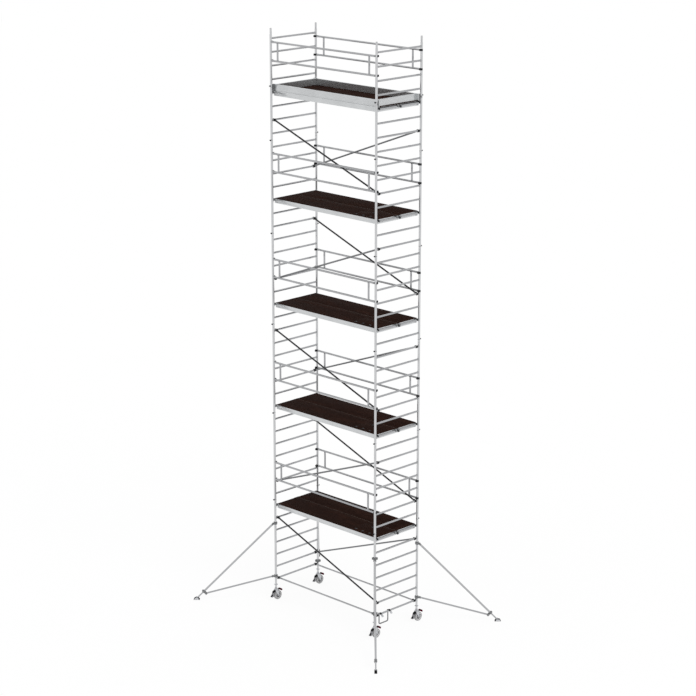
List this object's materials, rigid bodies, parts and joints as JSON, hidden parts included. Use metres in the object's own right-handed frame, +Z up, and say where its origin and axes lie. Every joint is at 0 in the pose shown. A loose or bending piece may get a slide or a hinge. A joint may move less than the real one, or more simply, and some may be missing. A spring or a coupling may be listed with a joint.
{
  "type": "mobile tower scaffold",
  "caption": "Tall aluminium mobile scaffold tower with ladder-frame ends, braced platform levels, guardrails, toe boards, braked casters and splayed outriggers.",
  "frame": {"origin": "on the ground, below the middle of the tower", "axes": "+Z up; +X along the platforms towards the ladder end that carries the access step; +Y along the rungs, away from the trapdoor side"},
  "size_m": [5.588, 3.868, 12.4597],
  "materials": {
    "frame_tube": "bare mill finish, satin",
    "guard_tube": "bare mill finish, satin",
    "deck_board": "phenolic-faced plywood, matt dark brown",
    "hatch_board": "phenolic-faced plywood, matt dark brown",
    "toe_board": "bare mill finish, satin",
    "caster_steel": "zinc plated",
    "wheel_tread": "light grey moulded wheel",
    "brake_plastic": "dark red pad on a black pedal",
    "outrigger_tube": "bare mill finish, satin",
    "outrigger_leg": "bare mill finish with a dark rubber foot",
    "step_steel": "bare mill finish, satin"
  },
  "bodies": {
    "tower": {"left_frame_1": "frame_tube", "left_frame_2": "frame_tube", "left_frame_3": "frame_tube", "left_frame_4": "frame_tube", "left_frame_5": "frame_tube", "left_frame_6": "frame_tube", "left_frame_7": "frame_tube", "right_frame_1": "frame_tube", "right_frame_2": "frame_tube", "right_frame_3": "frame_tube", "right_frame_4": "frame_tube", "right_frame_5": "frame_tube", "right_frame_6": "frame_tube", "right_frame_7": "frame_tube", "platform_level_1": "deck_board", "guardrail_front_1": "guard_tube", "guardrail_back_1": "guard_tube", "platform_level_2": "deck_board", "guardrail_front_2": "guard_tube", "guardrail_back_2": "guard_tube", "platform_level_3": "deck_board", "guardrail_front_3": "guard_tube", "guardrail_back_3": "guard_tube", "platform_level_4": "deck_board", "guardrail_front_4": "guard_tube", "guardrail_back_4": "guard_tube", "platform_level_5": "deck_board", "guardrail_front_5": "guard_tube", "guardrail_back_5": "guard_tube", "toe_boards": "toe_board"},
    "hatch_1": {"hatch_level_1": "hatch_board"},
    "hatch_2": {"hatch_level_2": "hatch_board"},
    "hatch_3": {"hatch_level_3": "hatch_board"},
    "hatch_4": {"hatch_level_4": "hatch_board"},
    "hatch_5": {"hatch_level_5": "hatch_board"},
    "leg_left_front": {"caster_leg_left_front": "caster_steel"},
    "fork_left_front": {"caster_fork_left_front": "caster_steel"},
    "wheel_left_front": {"caster_wheel_left_front": "wheel_tread"},
    "brake_left_front": {"caster_brake_left_front": "brake_plastic"},
    "outrigger_left_front": {"outrigger_arm_left_front": "outrigger_tube"},
    "outrigger_leg_left_front": {"outrigger_leg_left_front": "outrigger_leg"},
    "leg_left_back": {"caster_leg_left_back": "caster_steel"},
    "fork_left_back": {"caster_fork_left_back": "caster_steel"},
    "wheel_left_back": {"caster_wheel_left_back": "wheel_tread"},
    "brake_left_back": {"caster_brake_left_back": "brake_plastic"},
    "outrigger_left_back": {"outrigger_arm_left_back": "outrigger_tube"},
    "outrigger_leg_left_back": {"outrigger_leg_left_back": "outrigger_leg"},
    "leg_right_front": {"caster_leg_right_front": "caster_steel"},
    "fork_right_front": {"caster_fork_right_front": "caster_steel"},
    "wheel_right_front": {"caster_wheel_right_front": "wheel_tread"},
    "brake_right_front": {"caster_brake_right_front": "brake_plastic"},
    "outrigger_right_front": {"outrigger_arm_right_front": "outrigger_tube"},
    "outrigger_leg_right_front": {"outrigger_leg_right_front": "outrigger_leg"},
    "leg_right_back": {"caster_leg_right_back": "caster_steel"},
    "fork_right_back": {"caster_fork_right_back": "caster_steel"},
    "wheel_right_back": {"caster_wheel_right_back": "wheel_tread"},
    "brake_right_back": {"caster_brake_right_back": "brake_plastic"},
    "outrigger_right_back": {"outrigger_arm_right_back": "outrigger_tube"},
    "outrigger_leg_right_back": {"outrigger_leg_right_back": "outrigger_leg"},
    "step": {"access_step": "step_steel"}
  },
  "joints": [
    {"name": "hatch_1_hinge", "type": "hinge", "parent": "tower", "child": "hatch_1", "pos_m": [1.012, -0.525, 2.2197], "axis": [1, 0, 0], "range_deg": [0, 90]},
    {"name": "hatch_2_hinge", "type": "hinge", "parent": "tower", "child": "hatch_2", "pos_m": [1.012, -0.525, 4.4597], "axis": [1, 0, 0], "range_deg": [0, 90]},
    {"name": "hatch_3_hinge", "type": "hinge", "parent": "tower", "child": "hatch_3", "pos_m": [1.012, -0.525, 6.6997], "axis": [1, 0, 0], "range_deg": [0, 90]},
    {"name": "hatch_4_hinge", "type": "hinge", "parent": "tower", "child": "hatch_4", "pos_m": [1.012, -0.525, 8.9397], "axis": [1, 0, 0], "range_deg": [0, 90]},
    {"name": "hatch_5_hinge", "type": "hinge", "parent": "tower", "child": "hatch_5", "pos_m": [1.012, -0.525, 11.1797], "axis": [1, 0, 0], "range_deg": [0, 90]},
    {"name": "leg_left_front_slide", "type": "slide", "parent": "tower", "child": "leg_left_front", "axis": [0, 0, -1], "range_m": [0, 0.2]},
    {"name": "fork_left_front_swivel", "type": "hinge", "parent": "leg_left_front", "child": "fork_left_front", "pos_m": [-1.5, -0.64, 0.258], "axis": [0, 0, 1], "continuous": true},
    {"name": "wheel_left_front_spin", "type": "hinge", "parent": "fork_left_front", "child": "wheel_left_front", "pos_m": [-1.5, -0.59, 0.1], "axis": [1, 0, 0], "continuous": true},
    {"name": "brake_left_front_rock", "type": "hinge", "parent": "fork_left_front", "child": "brake_left_front", "pos_m": [-1.5, -0.61, 0.216], "axis": [1, 0, 0], "range_deg": [0, 12]},
    {"name": "outrigger_left_front_turn", "type": "hinge", "parent": "tower", "child": "outrigger_left_front", "pos_m": [-1.5, -0.64, 0.5547], "axis": [0, 0, 1], "range_deg": [-35, 35]},
    {"name": "outrigger_leg_left_front_slide", "type": "slide", "parent": "outrigger_left_front", "child": "outrigger_leg_left_front", "axis": [0.4933, 0.4933, 0.7164], "range_m": [0, 0.12]},
    {"name": "leg_left_back_slide", "type": "slide", "parent": "tower", "child": "leg_left_back", "axis": [0, 0, -1], "range_m": [0, 0.2]},
    {"name": "fork_left_back_swivel", "type": "hinge", "parent": "leg_left_back", "child": "fork_left_back", "pos_m": [-1.5, 0.64, 0.258], "axis": [0, 0, 1], "continuous": true},
    {"name": "wheel_left_back_spin", "type": "hinge", "parent": "fork_left_back", "child": "wheel_left_back", "pos_m": [-1.5, 0.69, 0.1], "axis": [1, 0, 0], "continuous": true},
    {"name": "brake_left_back_rock", "type": "hinge", "parent": "fork_left_back", "child": "brake_left_back", "pos_m": [-1.5, 0.67, 0.216], "axis": [1, 0, 0], "range_deg": [0, 12]},
    {"name": "outrigger_left_back_turn", "type": "hinge", "parent": "tower", "child": "outrigger_left_back", "pos_m": [-1.5, 0.64, 0.5547], "axis": [0, 0, 1], "range_deg": [-35, 35]},
    {"name": "outrigger_leg_left_back_slide", "type": "slide", "parent": "outrigger_left_back", "child": "outrigger_leg_left_back", "axis": [0.4933, -0.4933, 0.7164], "range_m": [0, 0.12]},
    {"name": "leg_right_front_slide", "type": "slide", "parent": "tower", "child": "leg_right_front", "axis": [0, 0, -1], "range_m": [0, 0.2]},
    {"name": "fork_right_front_swivel", "type": "hinge", "parent": "leg_right_front", "child": "fork_right_front", "pos_m": [1.5, -0.64, 0.258], "axis": [0, 0, 1], "continuous": true},
    {"name": "wheel_right_front_spin", "type": "hinge", "parent": "fork_right_front", "child": "wheel_right_front", "pos_m": [1.5, -0.59, 0.1], "axis": [1, 0, 0], "continuous": true},
    {"name": "brake_right_front_rock", "type": "hinge", "parent": "fork_right_front", "child": "brake_right_front", "pos_m": [1.5, -0.61, 0.216], "axis": [1, 0, 0], "range_deg": [0, 12]},
    {"name": "outrigger_right_front_turn", "type": "hinge", "parent": "tower", "child": "outrigger_right_front", "pos_m": [1.5, -0.64, 0.5547], "axis": [0, 0, 1], "range_deg": [-35, 35]},
    {"name": "outrigger_leg_right_front_slide", "type": "slide", "parent": "outrigger_right_front", "child": "outrigger_leg_right_front", "axis": [-0.4933, 0.4933, 0.7164], "range_m": [0, 0.12]},
    {"name": "leg_right_back_slide", "type": "slide", "parent": "tower", "child": "leg_right_back", "axis": [0, 0, -1], "range_m": [0, 0.2]},
    {"name": "fork_right_back_swivel", "type": "hinge", "parent": "leg_right_back", "child": "fork_right_back", "pos_m": [1.5, 0.64, 0.258], "axis": [0, 0, 1], "continuous": true},
    {"name": "wheel_right_back_spin", "type": "hinge", "parent": "fork_right_back", "child": "wheel_right_back", "pos_m": [1.5, 0.69, 0.1], "axis": [1, 0, 0], "continuous": true},
    {"name": "brake_right_back_rock", "type": "hinge", "parent": "fork_right_back", "child": "brake_right_back", "pos_m": [1.5, 0.67, 0.216], "axis": [1, 0, 0], "range_deg": [0, 12]},
    {"name": "outrigger_right_back_turn", "type": "hinge", "parent": "tower", "child": "outrigger_right_back", "pos_m": [1.5, 0.64, 0.5547], "axis": [0, 0, 1], "range_deg": [-35, 35]},
    {"name": "outrigger_leg_right_back_slide", "type": "slide", "parent": "outrigger_right_back", "child": "outrigger_leg_right_back", "axis": [-0.4933, -0.4933, 0.7164], "range_m": [0, 0.12]},
    {"name": "step_swing", "type": "hinge", "parent": "tower", "child": "step", "pos_m": [1.5, -0.3385, 0.4947], "axis": [0, -1, 0], "range_deg": [-20, 60]}
  ]
}
